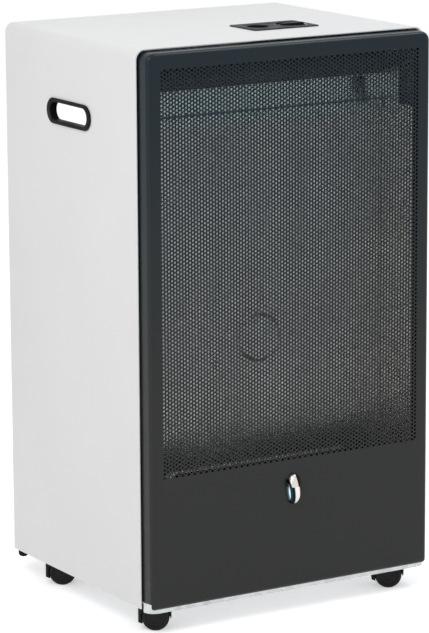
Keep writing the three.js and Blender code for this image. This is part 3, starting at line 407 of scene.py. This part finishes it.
dress(rolled_sheet("back_sheet", (0.75, 0.77, 0.78), (0.89, 0.91, 0.92)), "reflector_back")
# Painted light: the side sheets are warmer and brighter than the back one, standing in for light falling on
# the side walls.
dress(
    rolled_sheet("side_sheet", (0.92, 0.89, 0.82), (1.0, 0.98, 0.93)),
    "reflector_left",
    "reflector_right",
)
dress(strip_painted_sheen(), "flue_strip")
dress(black_sheet(), "top_deflector")
dress(galvanised, "heat_shield", "chamber_floor")
rim = finer_copy("burner_frame", rim_round, 5)
settle(rim, "flame_frame", polished_rim(), "cabinet", ["burner_frame"])

# ---------------------------------------------------------------------- Burner
# A pressed steel tube with flame ports along its top stands on two brackets. The pilot, its
# spark electrode and the thermocouple stand on a small bracket in front of it.

burner_round = 0.0004


def machined_brass():
    """Brass straight from the lathe, a little tarnished."""
    finish = new_finish("machined_brass", (0.64, 0.48, 0.22), 0.3, metallic=1.0)
    drive(finish, "Roughness", between(finish, pattern(finish, "Noise", 180), 0.22, 0.42))
    tarnish = pattern(finish, "Noise", 40)
    drive(finish, "Base Color", between(finish, tarnish, (0.56, 0.40, 0.17), (0.68, 0.52, 0.25)))
    return finish


def drawn_copper():
    finish = new_finish("drawn_copper", (0.66, 0.33, 0.20), 0.32, metallic=1.0)
    tarnish = pattern(finish, "Noise", 35)
    drive(finish, "Base Color", between(finish, tarnish, (0.50, 0.24, 0.15), (0.70, 0.38, 0.25)))
    return finish


def scaled_steel():
    """Steel sheet scaled by the flames."""
    finish = new_finish("scaled_steel", (0.30, 0.28, 0.26), 0.5, metallic=1.0)
    scale = pattern(finish, "Noise", 25, Detail=5.0)
    drive(finish, "Base Color", between(finish, scale, (0.22, 0.19, 0.17), (0.40, 0.38, 0.36)))
    drive(finish, "Roughness", between(finish, scale, 0.4, 0.6))
    return finish


def glazed_ceramic():
    finish = new_finish("glazed_ceramic", (0.74, 0.72, 0.66), 0.25)
    drive(finish, "Roughness", between(finish, pattern(finish, "Noise", 200), 0.2, 0.35))
    return finish


brass = machined_brass()
copper = drawn_copper()
burner = finer_copy("burner_tube", burner_round)
settle(burner, "burner_body", scaled_steel(), "cabinet", ["burner_tube"])
dress(galvanised, "burner_bracket_left", "burner_bracket_right", "pilot_bracket")
dress(brass, "jet_holder", "pilot_burner")
dress(copper, "thermocouple")
dress(glazed_ceramic(), "spark_electrode")

# ---------------------------------------------------------- Gas valve and pipes
# A brass valve on a bent bracket behind the heat shield, with copper pipes down to the burner
# and the pilot, the thermocouple's lead and the spark lead in its red sleeve.

valve_round = 0.0004


def make_pipe(node):
    """A pipe from the fixed model's coarse tube, made round by subdivision."""
    pipe = finer_copy(node, 0)
    edit(pipe)
    bpy.ops.mesh.tris_convert_to_quads()
    done()
    apply(pipe, "SUBSURF", levels=2, render_levels=2)
    return pipe


def red_sleeve():
    """Woven sleeve, dull and slightly rough."""
    finish = new_finish("red_sleeve", (0.20, 0.028, 0.018), 0.6)
    dimple(finish, pattern(finish, "Noise", 700), 0.0001, 0.3)
    return finish


for node, name, finish, slot in (
    ("burner_pipe", "burner_feed", copper, "copper"),
    ("pilot_pipe", "pilot_feed", copper, "copper"),
    ("thermocouple_lead", "probe_lead", copper, "copper"),
    ("igniter_lead", "spark_lead", red_sleeve(), "red_rubber"),
):
    settle(make_pipe(node), name, finish, "cabinet", [node], 60)
for node, name, finish, slot in (
    ("valve_bracket", "valve_shelf", galvanised, "galvanised_steel"),
    ("gas_valve", "valve_body", brass, "brass"),
    ("hose_tail", "hose_barb", brass, "brass"),
    ("piezo_igniter", "piezo_body", soft_black, "black_plastic"),
):
    settle(finer_copy(node, valve_round), name, finish, "cabinet", [node], 40)
dress(brass, "valve_spindle")

# ---------------------------------------------------------------------- Casing
# One sheet of white powder-coated steel folded over both sides and the top. Its front edge is
# folded back on itself in a thin hem, and its rear edge is turned in all round.

casing_low, casing_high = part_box("casing")
casing_fold = 0.012
hem_thickness = 0.002
hem_depth = 0.009
rear_return = 0.014
casing_sheet = 0.001
casing_round = 0.0009
grip_cut_length = 0.1001
grip_cut_height = 0.0296
insert_lip = 0.0027
well_depth = 0.02
cutter_depth = 0.04


def powder_coat():
    """White paint baked on, with a faint orange-peel surface."""
    finish = new_finish("white_powder_coat", (0.80, 0.80, 0.79), 0.42, Coat_Weight=0.12, Coat_Roughness=0.3)
    tone = pattern(finish, "Noise", 3.0, Detail=2.0)
    drive(finish, "Base Color", between(finish, tone, (0.785, 0.785, 0.775), (0.815, 0.815, 0.805)))
    drive(finish, "Roughness", between(finish, pattern(finish, "Noise", 40), 0.38, 0.46))
    dimple(finish, pattern(finish, "Noise", 750, Detail=2.0), 0.00005, 0.2)
    return finish


def stadium(length, height, depth, middle):
    """A bar along X whose section has half-round ends: length along Y, height along Z."""
    bar = start_cylinder(height / 2, depth, middle, 48, (0, math.pi / 2, 0))
    edit(bar)
    reach = (length - height) / 2
    for side in (-1, 1):
        pick(bar, "VERT", lambda at: (at.y - middle.y) * side > near)
        bpy.ops.transform.translate(value=(0, side * reach, 0))
    done()
    return bar


def cut(piece, cutter):
    """Cuts the cutter's shape out of the piece and throws the cutter away."""
    apply(piece, "BOOLEAN", operation="DIFFERENCE", object=cutter, solver="EXACT")
    bpy.data.objects.remove(cutter)


def make_casing():
    """The bent sheet before its holes are cut: two sides and the top."""
    middle = (casing_low + casing_high) / 2
    size = casing_high - casing_low
    casing = start_block(middle, size)
    edit(casing)
    pick(casing, "FACE", lambda at, normal: abs(normal.y) > square_on or normal.z < -square_on)
    bpy.ops.mesh.delete(type="FACE")
    pick(casing, "EDGE", lambda a, b: min(a.z, b.z) > middle.z and abs(a.x - b.x) < near)
    bpy.ops.mesh.bevel(offset=casing_fold, segments=12, affect="EDGES")
    # the rear edge is turned in
    pick(casing, "EDGE", lambda a, b: min(a.y, b.y) > casing_high.y - near)
    bpy.ops.mesh.extrude_edges_move()
    bpy.ops.transform.resize(
        value=(1 - 2 * rear_return / size.x, 1, 1 - rear_return / size.z),
        center_override=(0, casing_high.y, casing_low.z),
    )
    # the front edge is turned in and folded back
    pick(casing, "EDGE", lambda a, b: max(a.y, b.y) < casing_low.y + near)
    bpy.ops.mesh.extrude_edges_move()
    bpy.ops.transform.resize(
        value=(1 - 2 * hem_thickness / size.x, 1, 1 - hem_thickness / size.z),
        center_override=(0, casing_low.y, casing_low.z),
    )
    bpy.ops.mesh.extrude_edges_move()
    bpy.ops.transform.translate(value=(0, hem_depth, 0))
    bpy.ops.mesh.select_all(action="SELECT")
    bpy.ops.mesh.normals_make_consistent(inside=False)
    done()
    soften(casing, casing_round, 3, 50)
    apply(casing, "SOLIDIFY", thickness=casing_sheet, offset=-1, use_even_offset=True)
    return casing


white = powder_coat()
casing = make_casing()
for side in ("left", "right"):
    low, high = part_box(f"handle_{side}")
    cut(casing, stadium(grip_cut_length, grip_cut_height, cutter_depth, (low + high) / 2))
insert_low, insert_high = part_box("control_insert")
insert_middle = (insert_low + insert_high) / 2
well = Vector((insert_high.x - insert_low.x, insert_high.y - insert_low.y, well_depth))
well -= Vector((2 * insert_lip, 2 * insert_lip, 0))
cut(casing, start_block((insert_middle.x, insert_middle.y, casing_high.z), well))
settle(casing, "casing_shell", white, "cabinet", ["casing"])

# ------------------------------------------------------------------ Rear cover
# A lift-off cover of the same white sheet, pressed out in one bulge so that the cylinder fits,
# with two groups of slots for fresh air. It stands behind the casing's turned-in rear edge.

cover_round = 0.0004

cover = finer_copy("rear_cover", cover_round)
settle(cover, "rear_bulge_cover", white, "cover", ["rear_cover"])

# ---------------------------------------------------------------- Front panel
# One steel sheet in dark slate enamel, pressed into a shallow tray with rounded edges. Its
# middle is punched with thousands of small round holes in staggered columns.

panel_low, panel_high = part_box("front_panel")
face_y = panel_low.y
panel_sheet = 0.0012
panel_corner = 0.012
panel_edge = 0.0055
hole_radius = 0.00175
column_pitch = 0.00433
row_pitch = 0.005
columns = 88
rows = 102
field_bottom = 0.20075
field_lap = 0.0003
field_sink = 0.00005
field_parts = 3
flange_end = 0.003
flange_floor = 0.0423
# heights where the painted bluish reflection on the enamel begins and where it is full
painted_sheen_bottom = 0.30
painted_sheen_top = 0.66


def slate_enamel():
    """Dark enamel with a painted reflection of cool light: bluer and darker towards the top."""
    finish = new_finish("slate_enamel", (0.018, 0.020, 0.019), 0.30, Specular_IOR_Level=0.25)
    rise = along(finish, (0, 0, 1), painted_sheen_bottom, painted_sheen_top)
    # the enamel's own colour at the foot, a painted bluish reflection at the top
    enamel_and_painted_sheen = ((0, (0.019, 0.021, 0.019)), (1, (0.004, 0.013, 0.019)))
    drive(finish, "Base Color", bands(finish, rise, enamel_and_painted_sheen))
    drive(finish, "Roughness", between(finish, pattern(finish, "Noise", 35), 0.27, 0.34))
    dimple(finish, pattern(finish, "Noise", 900, Detail=2.0), 0.00004, 0.15)
    return finish


def start_plate():
    """The panel's flat face, with its two upper corners rounded."""
    middle = Vector((0, face_y, (panel_high.z + panel_low.z) / 2))
    bpy.ops.object.select_all(action="DESELECT")
    bpy.ops.mesh.primitive_plane_add(size=1, location=middle, rotation=(math.pi / 2, 0, 0))
    plate = bpy.context.object
    plate.scale = (panel_high.x - panel_low.x, panel_high.z - panel_low.z, 1)
    bpy.ops.object.transform_apply(location=True, rotation=True, scale=True)
    pick(plate, "VERT", lambda at: at.z > middle.z)
    bpy.ops.mesh.bevel(offset=panel_corner, segments=10, affect="VERTICES")
    done()
    return plate


def score(point, normal):
    """Marks a line right across the sheet in hand, where a plane meets it."""
    bpy.ops.mesh.select_all(action="SELECT")
    bpy.ops.mesh.bisect(plane_co=point, plane_no=normal)


def make_panel_sheet():
    """The tray round the window: plate, rounded rim and flanges, left open at the foot, where
    its corners are square."""
    field_top = field_bottom + (rows + 0.5) * row_pitch
    window_half = columns * column_pitch / 2 - field_lap
    sheet = start_plate()
    edit(sheet)
    score((-window_half, 0, 0), (1, 0, 0))
    score((window_half, 0, 0), (1, 0, 0))
    score((0, 0, field_bottom + field_lap), (0, 0, 1))
    score((0, 0, field_top - field_lap), (0, 0, 1))
    bpy.ops.mesh.select_all(action="SELECT")
    bpy.ops.mesh.region_to_loop()
    bpy.ops.mesh.extrude_edges_move()
    bpy.ops.transform.translate(value=(0, panel_high.y - face_y, 0))
    pick(sheet, "FACE", lambda at, normal: abs(normal.y) > square_on and abs(at.x) < window_half
         and field_bottom < at.z < field_top)
    bpy.ops.mesh.delete(type="FACE")
    bpy.ops.mesh.select_all(action="SELECT")
    bpy.ops.mesh.normals_make_consistent(inside=False)
    done()
    soften(sheet, panel_edge, 8, 50)
    edit(sheet)
    score((0, 0, flange_floor), (0, 0, 1))
    score((0, face_y + flange_end, 0), (0, 1, 0))
    pick(sheet, "FACE", lambda at, normal: at.z < flange_floor and at.y > face_y + flange_end)
    bpy.ops.mesh.delete(type="FACE")
    done()
    apply(sheet, "SOLIDIFY", thickness=panel_sheet, offset=-1, use_even_offset=True)
    return sheet


def make_hole_cell(x, z):
    """One punched hole in its own tile, whose corners meet those of the staggered neighbours."""
    bpy.ops.object.select_all(action="DESELECT")
    place = Vector((x, face_y + field_sink, z))
    turn = (math.pi / 2, 0, 0)
    bpy.ops.mesh.primitive_circle_add(vertices=6, radius=column_pitch, location=place, rotation=turn)
    cell = bpy.context.object
    bpy.ops.object.transform_apply(location=True, rotation=True, scale=True)
    order = sorted(cell.data.vertices, key=lambda vertex: vertex.co.z)
    for level, pair in ((-1, order[:2]), (0, order[2:4]), (1, order[4:])):
        for side, vertex in zip((-1, 1), sorted(pair, key=lambda vertex: vertex.co.x)):
            vertex.co.x = x + side * column_pitch / 2
            vertex.co.z = z + level * row_pitch / 2
    edit(cell)
    bpy.ops.mesh.primitive_circle_add(vertices=8, radius=hole_radius, location=place, rotation=turn)
    bpy.ops.mesh.select_all(action="SELECT")
    bpy.ops.mesh.bridge_edge_loops()
    done()
    return cell


def repeat(piece, count, step):
    """Lays copies of the piece side by side and joins them."""
    apply(
        piece,
        "ARRAY",
        count=count,
        use_relative_offset=False,
        use_constant_offset=True,
        constant_offset_displace=step,
        use_merge_vertices=True,
        merge_threshold=weld_gap,
    )


def on_corner_line(x, first_x):
    """Whether x lies midway between two columns of holes, where the tiles' corners are."""
    across = (x - first_x) / column_pitch
    return abs(across - round(across)) > 0.45


def make_perforated_part(part):
    """A band of the window, as wide as the whole and a third as high."""
    part_rows = rows // field_parts
    first_x = -(columns - 1) * column_pitch / 2
    first_z = field_bottom + (part * part_rows + 0.5) * row_pitch
    band = make_hole_cell(first_x, first_z)
    repeat(band, part_rows, (0, 0, row_pitch))
    repeat(band, 2, (column_pitch, 0, row_pitch / 2))
    repeat(band, columns // 2, (2 * column_pitch, 0, 0))
    edit(band)
    bpy.ops.mesh.remove_doubles(threshold=weld_gap)
    edge_z = {0: first_z, field_parts - 1: first_z + part_rows * row_pitch - row_pitch / 2}.get(part)
    if edge_z is not None:
        pick(band, "VERT", lambda at: abs(at.z - edge_z) < near and on_corner_line(at.x, first_x))
        side = -1 if part == 0 else 1
        bpy.ops.transform.translate(value=(0, 0, side * row_pitch / 2))
        bpy.ops.mesh.select_all(action="SELECT")
        bpy.ops.mesh.remove_doubles(threshold=weld_gap)
    bpy.ops.mesh.select_all(action="SELECT")
    bpy.ops.mesh.normals_make_consistent(inside=False)
    done()
    if band.data.polygons[0].normal.y > 0:
        band.data.flip_normals()
    apply(band, "SOLIDIFY", thickness=panel_sheet, offset=-1)
    return band


slate = slate_enamel()
settle(make_panel_sheet(), "panel_sheet", slate, "cabinet", ["front_panel"])
for part in range(field_parts):
    band = make_perforated_part(part)
    settle(band, f"panel_perforation_{part + 1}", slate, "cabinet", ["front_panel"], 40)

# ------------------------------------------------------------------- Oval boss
# A small domed oval of chrome plated metal, clipped to the plain lower part of the panel. Its
# reflections are painted into its colour, and so is the soft ridge across it, where they change.

boss_low, boss_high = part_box("oval_boss")
boss_rim = 0.002
# the painted ridge's place as a share of the height down from the top, the slant of the painted reflection
# bands, and the half width of the painted ridge line
boss_ridge = 0.40
reflection_slant = 0.12
painted_ridge_half = 0.0002


def make_boss():
    """Half an egg shape on a short rim, with a line of edges where the painted ridge runs."""
    middle = (boss_low + boss_high) / 2
    rim_y = boss_high.y - boss_rim
    size = boss_high - boss_low
    bpy.ops.object.select_all(action="DESELECT")
    bpy.ops.mesh.primitive_uv_sphere_add(
        segments=72, ring_count=48, radius=0.5, location=(0, rim_y, middle.z), rotation=(math.pi / 2, 0, 0)
    )
    boss = bpy.context.object
    boss.scale = (size.x, size.z, 2 * (size.y - boss_rim))
    bpy.ops.object.transform_apply(location=True, rotation=True, scale=True)
    edit(boss)
    bpy.ops.mesh.bisect(plane_co=(0, rim_y, 0), plane_no=(0, 1, 0), clear_outer=True)
    pick(boss, "EDGE", lambda a, b: min(a.y, b.y) > rim_y - near)
    bpy.ops.mesh.extrude_edges_move()
    bpy.ops.transform.translate(value=(0, boss_rim, 0))
    bpy.ops.mesh.select_all(action="SELECT")
    ridge_z = boss_high.z - boss_ridge * size.z
    bpy.ops.mesh.bisect(plane_co=(0, 0, ridge_z), plane_no=(0, 0, 1))
    done()
    return boss


def chrome_plate():
    """Chrome with painted reflections: broken bright and dark bands, such as a small dome throws back,
    painted across it on a slant, with a second set above the ridge.
    """
    finish = new_finish("chrome_plate", (0.80, 0.82, 0.85), 0.10, metallic=1.0)
    size = boss_high - boss_low
    middle = (boss_low + boss_high) / 2
    offset = reflection_slant * middle.z
    across = along(finish, (1, 0, reflection_slant), offset - size.x / 2, offset + size.x / 2)
    cream = (0.78, 0.72, 0.66)
    black = (0.008, 0.009, 0.009)
    teal = (0.008, 0.035, 0.05)
    pale = (0.66, 0.86, 0.92)
    grey = (0.30, 0.34, 0.34)
    # painted reflections: one set of bands below the ridge, one above it
    lower = ((0.07, pale), (0.10, teal), (0.18, teal), (0.23, black), (0.31, black), (0.37, cream),
             (0.62, cream), (0.68, black))
    upper = ((0.09, grey), (0.12, black), (0.18, black), (0.22, cream), (0.55, cream), (0.62, black))
    tree = finish.node_tree
    painted_reflection_halves = tree.nodes.new("ShaderNodeMix")
    painted_reflection_halves.data_type = "RGBA"
    # the painted ridge: the colour switches from one set of painted reflections to the other across this
    # line
    ridge_z = boss_high.z - boss_ridge * size.z
    above = along(finish, (0, 0, 1), ridge_z - painted_ridge_half, ridge_z + painted_ridge_half)
    tree.links.new(above, painted_reflection_halves.inputs["Factor"])
    tree.links.new(bands(finish, across, lower), painted_reflection_halves.inputs["A"])
    tree.links.new(bands(finish, across, upper), painted_reflection_halves.inputs["B"])
    drive(finish, "Base Color", painted_reflection_halves.outputs["Result"])
    drive(finish, "Roughness", between(finish, pattern(finish, "Noise", 500), 0.07, 0.14))
    return finish


chrome = chrome_plate()
settle(make_boss(), "panel_boss", chrome, "cabinet", ["oval_boss"])

# ------------------------------------------------------------- Handle grommets
# Moulded black rings snapped into the casing's sides: a flat oval face outside, and a sleeve
# through the sheet that fingers reach into.

grip_face = 0.0018
grip_end_rim = 0.009
grip_rim = 0.005
grip_wall = 0.003
grip_round = 0.0006


def make_grommet(node, side):
    """A ring on one side of the heater; side is -1 on the left and 1 on the right."""
    low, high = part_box(node)
    length = high.y - low.y
    height = high.z - low.z
    face_out = high.x if side > 0 else low.x
    sleeve_in = low.x if side > 0 else high.x
    middle = (low + high) / 2
    face_in = face_out - side * grip_face
    ring = stadium(length, height, grip_face, Vector(((face_out + face_in) / 2, middle.y, middle.z)))
    edit(ring)
    pick(ring, "FACE", lambda at, normal: normal.x * side < -square_on)
    bpy.ops.mesh.inset(thickness=grip_rim - grip_wall)
    inset_length = length - 2 * (grip_rim - grip_wall)
    sleeve_length = length - 2 * (grip_end_rim - grip_wall)
    bpy.ops.transform.resize(
        value=(1, sleeve_length / inset_length, 1), center_override=(face_in, middle.y, middle.z)
    )
    bpy.ops.mesh.extrude_region_move()
    bpy.ops.transform.translate(value=(sleeve_in - face_in, 0, 0))
    done()
    cut(ring, stadium(length - 2 * grip_end_rim, height - 2 * grip_rim, cutter_depth, middle))
    soften(ring, grip_round, 3, 40)
    return ring


for side, name in ((-1, "left"), (1, "right")):
    node = f"handle_{name}"
    ring = make_grommet(node, side)
    settle(ring, f"grip_ring_{name}", soft_black, "cabinet", [node])

# -------------------------------------------------------------------- Controls
# A black moulded insert dropped into the casing's top, with the gas knob in one well and the
# igniter button in the other. The knob is pushed onto the valve's spindle.

control_round = 0.0005
button_round = 0.0004

insert = finer_copy("control_insert", control_round, 3)
settle(insert, "control_plate", soft_black, "cabinet", ["control_insert"])
knob = finer_copy("control_knob", control_round, 3)
settle(knob, "gas_knob", soft_black, "knob", ["control_knob"])
button = finer_copy("igniter_button", button_round, 3)
settle(button, "spark_button", soft_black, "button", ["igniter_button"])

# ------------------------------------------------------------ Floor and lights
# A plain pale floor that keeps the heater's shadow, soft studio light, and a camera that looks
# from the front left, a little from above.

image_height = 633
camera_place = Vector((-2.226, -3.638, 1.244))
camera_turn = math.radians(31.49)
camera_fall = math.radians(11.80)
camera_roll = math.radians(-0.309)
camera_focus = 3337
camera_sensor = 36.0
studio_light = (0.56, 0.56, 0.57)
floor_lift = 0.46
floor_width = 60


def seen(tree):
    """1 for rays from the camera and for rays in gloss and glass, 0 for the light on the heater."""
    path = tree.nodes.new("ShaderNodeLightPath")
    seen_by = path.outputs["Is Camera Ray"]
    for other in ("Is Glossy Ray", "Is Transmission Ray"):
        either = tree.nodes.new("ShaderNodeMath")
        either.operation = "MAXIMUM"
        tree.links.new(seen_by, either.inputs[0])
        tree.links.new(path.outputs[other], either.inputs[1])
        seen_by = either.outputs[0]
    return seen_by


def white_backdrop():
    """Soft light from all round that the camera and reflections see as plain white."""
    world = bpy.data.worlds.new("studio")
    bpy.context.scene.world = world
    world.use_nodes = True
    tree = world.node_tree
    sky = tree.nodes.new("ShaderNodeMix")
    sky.data_type = "RGBA"
    sky.inputs["A"].default_value = (*studio_light, 1)
    sky.inputs["B"].default_value = (1, 1, 1, 1)
    tree.links.new(seen(tree), sky.inputs["Factor"])
    tree.links.new(sky.outputs["Result"], tree.nodes["Background"].inputs["Color"])


def pale_floor():
    """Matt floor, lifted a little where it is seen, so that only the heater's shadow shows."""
    finish = new_finish("pale_floor", (0.94, 0.94, 0.94), 0.9, Specular_IOR_Level=0.0)
    tree = finish.node_tree
    lift = tree.nodes.new("ShaderNodeMath")
    lift.operation = "MULTIPLY"
    lift.inputs[1].default_value = floor_lift
    tree.links.new(seen(tree), lift.inputs[0])
    tree.nodes["Principled BSDF"].inputs["Emission Color"].default_value = (1, 1, 1, 1)
    drive(finish, "Emission Strength", lift.outputs[0])
    return finish


white_backdrop()
bpy.ops.object.select_all(action="DESELECT")
bpy.ops.mesh.primitive_plane_add(size=floor_width, location=(0, 0, 0))
floor = bpy.context.object
floor.name = "studio_floor"
floor.data.materials.append(pale_floor())


def add_lamp(name, place, aim, size, power, color=(1, 1, 1)):
    """A flat lamp of this width and height that faces the aim."""
    data = bpy.data.lights.new(name, "AREA")
    data.shape = "RECTANGLE"
    data.size, data.size_y = size
    data.energy = power
    data.color = color
    lamp = bpy.data.objects.new(name, data)
    bpy.context.scene.collection.objects.link(lamp)
    lamp.location = place
    lamp.rotation_euler = (Vector(aim) - Vector(place)).to_track_quat("-Z", "Y").to_euler()


add_lamp("key_lamp", (-2.2, -1.5, 3.0), (0, 0, 0.35), (1.6, 1.6), 40)
add_lamp("top_lamp", (1.6, -0.7, 3.0), (0, 0, 0.6), (1.0, 1.0), 17, (0.86, 0.94, 1.0))
add_lamp("edge_lamp", (-2.0, -1.25, 0.75), (-0.2, -0.19, 0.5), (0.16, 1.5), 3)


def place_camera():
    """The camera's turn is to the right, its fall downwards, and its focus is in picture points."""
    data = bpy.data.cameras.new("camera")
    data.sensor_fit = "VERTICAL"
    data.sensor_height = camera_sensor
    data.lens = camera_focus / image_height * camera_sensor
    camera = bpy.data.objects.new("camera", data)
    bpy.context.scene.collection.objects.link(camera)
    camera.location = camera_place
    turn = Matrix.Rotation(-camera_turn, 3, "Z") @ Matrix.Rotation(math.pi / 2 - camera_fall, 3, "X")
    camera.rotation_euler = (turn @ Matrix.Rotation(camera_roll, 3, "Z")).to_euler()
    bpy.context.scene.camera = camera


place_camera()
bpy.context.scene.view_settings.view_transform = "Standard"
